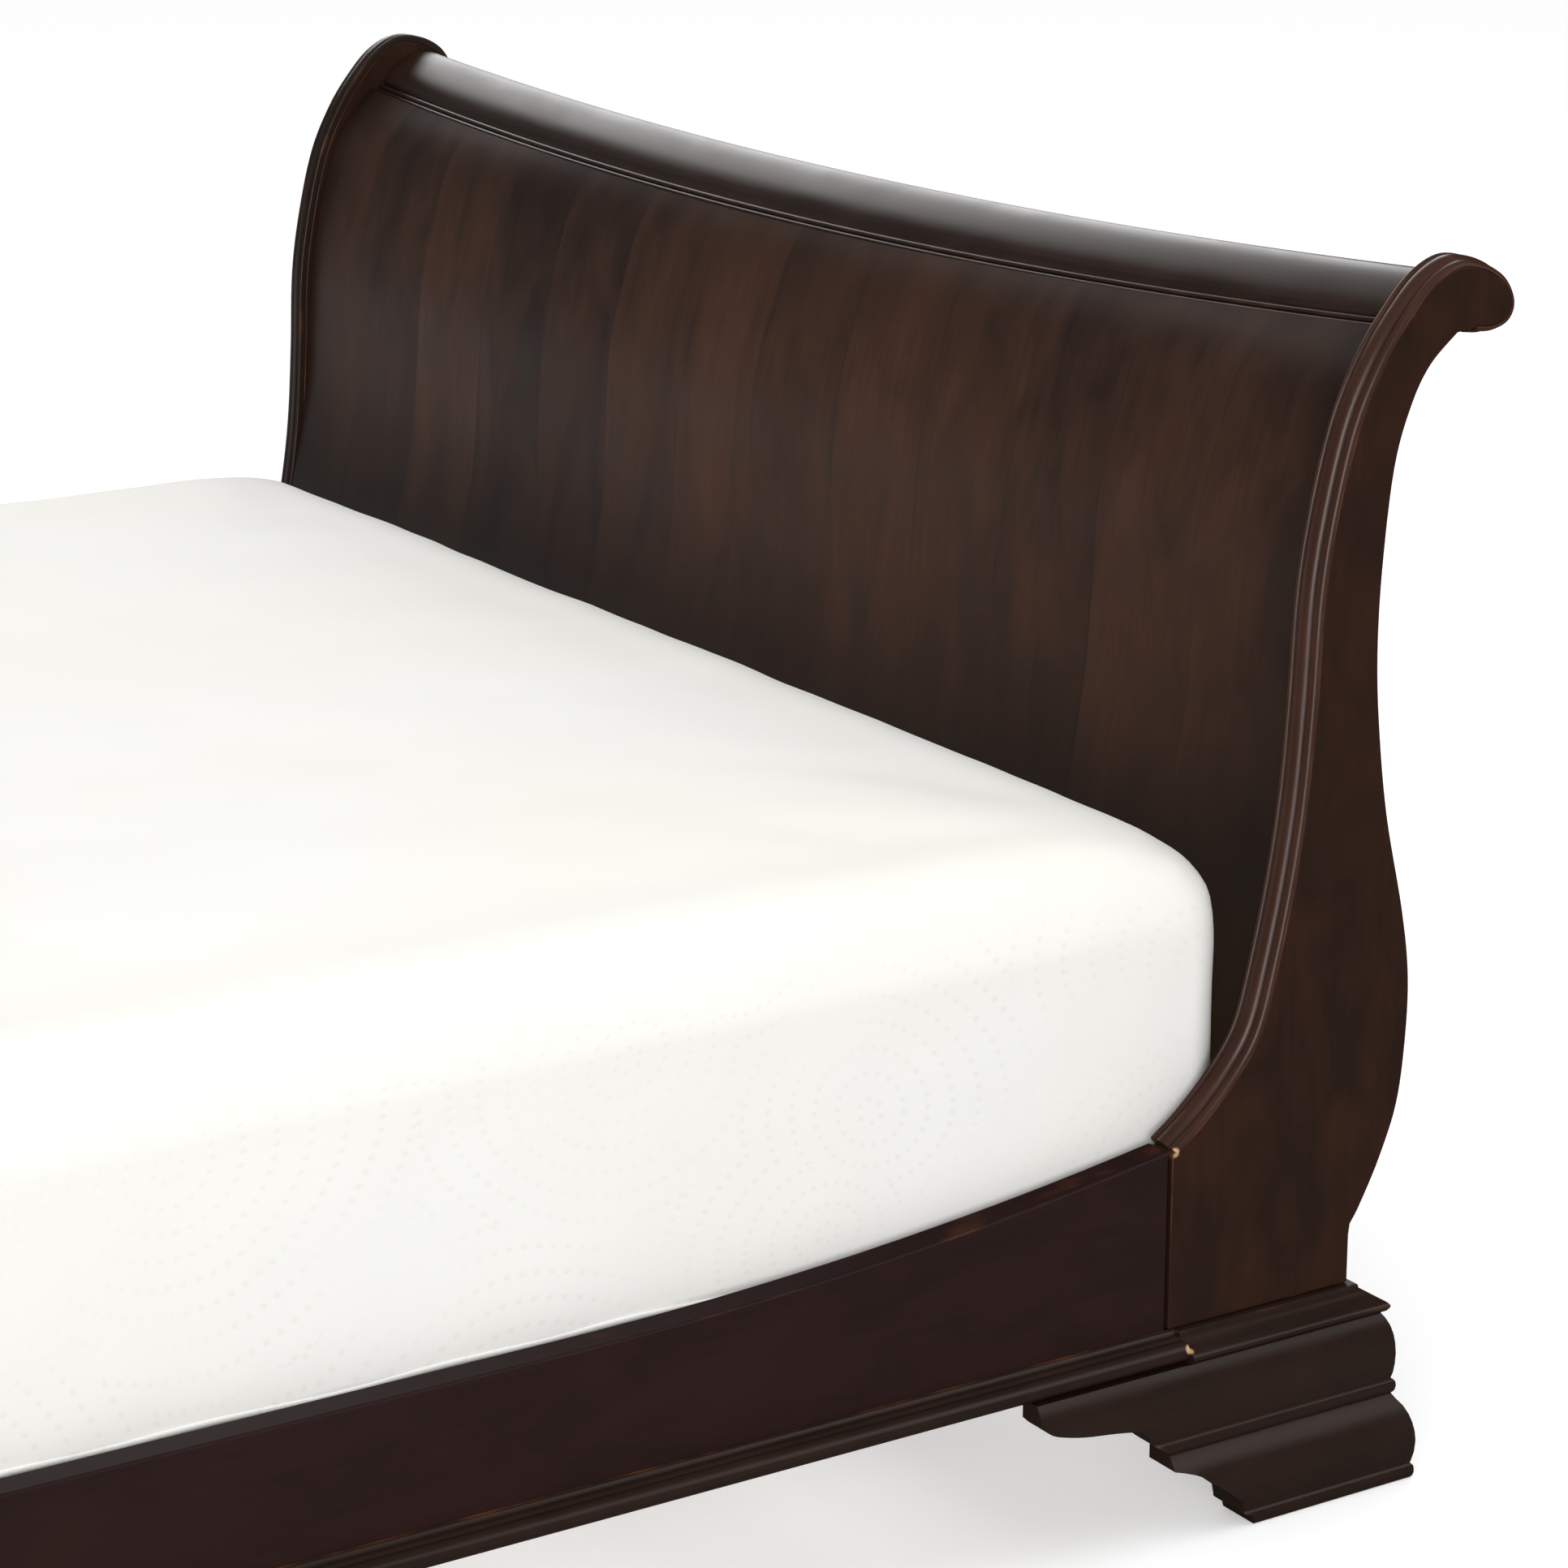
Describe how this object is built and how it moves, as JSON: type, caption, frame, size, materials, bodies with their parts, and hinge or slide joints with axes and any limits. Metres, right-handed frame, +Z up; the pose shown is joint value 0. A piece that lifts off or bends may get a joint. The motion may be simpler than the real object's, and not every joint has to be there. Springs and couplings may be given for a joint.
{
  "type": "sleigh bed",
  "caption": "Wooden sleigh bed with S-curved head and foot boards, rolled crests, moulded bracket feet, swept side rails, slats and a mattress.",
  "frame": {"origin": "on the floor, at the middle of the whole bed's plan outline", "axes": "+X across the bed to the right seen from the foot end, +Y along the bed towards the headboard, +Z up"},
  "size_m": [1.65, 2.4864, 1.2674],
  "materials": {
    "espresso_trim": "dark espresso stain under satin lacquer, rubbed edges",
    "post_faces": "reddish-brown espresso stain under satin lacquer",
    "veneer_panels": "vertical veneer leaves, espresso stain, satin lacquer",
    "plain_wood": "planed softwood, unfinished",
    "black_steel": "black phosphated steel",
    "black_plastic": "moulded nylon",
    "mattress_cover": "white double-knit cover with a faint dotted contour pattern"
  },
  "bodies": {
    "bed_frame": {"centre_beam": "plain_wood", "foot_end_support_leg": "plain_wood", "footboard_bead_moulding": "espresso_trim", "footboard_bottom_rail": "espresso_trim", "footboard_crest_rail": "espresso_trim", "footboard_inner_panel": "veneer_panels", "footboard_left_edge_moulding": "espresso_trim", "footboard_left_foot_cap": "espresso_trim", "footboard_left_foot_corner_block": "plain_wood", "footboard_left_foot_end_bracket": "espresso_trim", "footboard_left_foot_side_bracket": "espresso_trim", "footboard_left_post": "post_faces", "footboard_outer_panel": "veneer_panels", "footboard_right_edge_moulding": "espresso_trim", "footboard_right_foot_cap": "espresso_trim", "footboard_right_foot_corner_block": "plain_wood", "footboard_right_foot_end_bracket": "espresso_trim", "footboard_right_foot_side_bracket": "espresso_trim", "footboard_right_post": "post_faces", "head_end_support_leg": "plain_wood", "headboard_bead_moulding": "espresso_trim", "headboard_bottom_rail": "espresso_trim", "headboard_crest_rail": "espresso_trim", "headboard_inner_panel": "veneer_panels", "headboard_left_edge_moulding": "espresso_trim", "headboard_left_foot_cap": "espresso_trim", "headboard_left_foot_corner_block": "plain_wood", "headboard_left_foot_end_bracket": "espresso_trim", "headboard_left_foot_side_bracket": "espresso_trim", "headboard_left_post": "post_faces", "headboard_outer_panel": "veneer_panels", "headboard_right_edge_moulding": "espresso_trim", "headboard_right_foot_cap": "espresso_trim", "headboard_right_foot_corner_block": "plain_wood", "headboard_right_foot_end_bracket": "espresso_trim", "headboard_right_foot_side_bracket": "espresso_trim", "headboard_right_post": "post_faces", "left_footboard_joint_plate": "black_steel", "left_headboard_joint_plate": "black_steel", "left_rail_base_moulding": "espresso_trim", "left_side_rail": "espresso_trim", "left_slat_ledger": "plain_wood", "right_footboard_joint_plate": "black_steel", "right_headboard_joint_plate": "black_steel", "right_rail_base_moulding": "espresso_trim", "right_side_rail": "espresso_trim", "right_slat_ledger": "plain_wood", "slat_01": "plain_wood", "slat_02": "plain_wood", "slat_03": "plain_wood", "slat_04": "plain_wood", "slat_05": "plain_wood", "slat_06": "plain_wood", "slat_07": "plain_wood", "slat_08": "plain_wood", "slat_09": "plain_wood", "slat_10": "plain_wood"},
    "mattress": {"mattress": "mattress_cover"},
    "foot_end_glide": {"foot_end_levelling_glide": "black_plastic"},
    "head_end_glide": {"head_end_levelling_glide": "black_plastic"}
  },
  "joints": [
    {"name": "mattress_lift", "type": "slide", "parent": "bed_frame", "child": "mattress", "axis": [0, 0, 1], "range_m": [0, 0.4]},
    {"name": "foot_end_glide_travel", "type": "slide", "parent": "bed_frame", "child": "foot_end_glide", "axis": [0, 0, 1], "range_m": [0, 0.012]},
    {"name": "head_end_glide_travel", "type": "slide", "parent": "bed_frame", "child": "head_end_glide", "axis": [0, 0, 1], "range_m": [0, 0.012]}
  ]
}
